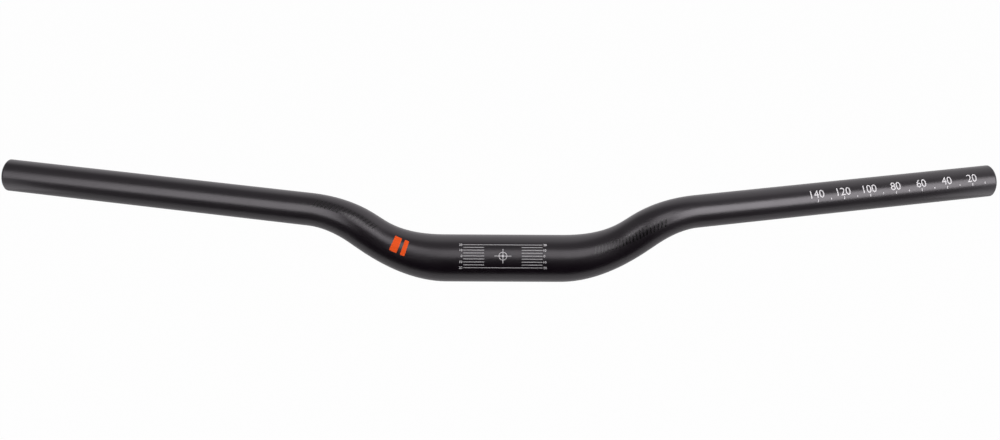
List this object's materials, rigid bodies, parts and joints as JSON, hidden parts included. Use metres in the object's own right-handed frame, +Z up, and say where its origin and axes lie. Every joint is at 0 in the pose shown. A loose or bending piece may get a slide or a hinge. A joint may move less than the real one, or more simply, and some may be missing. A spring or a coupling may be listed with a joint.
{
  "type": "riser handlebar",
  "caption": "Riser handlebar for a bicycle: one hollow tube, thick at the stem clamp, bent up and swept back on both sides and drawn down to straight grip ends.",
  "frame": {"origin": "middle of the clamp seat, on its axis", "axes": "+X along the clamp axis to the rider's left, +Y back towards the rider, +Z up"},
  "size_m": [0.7, 0.1004, 0.057],
  "materials": {
    "black_finish": "satin"
  },
  "bodies": {
    "root": {"handlebar": "black_finish"}
  },
  "joints": []
}
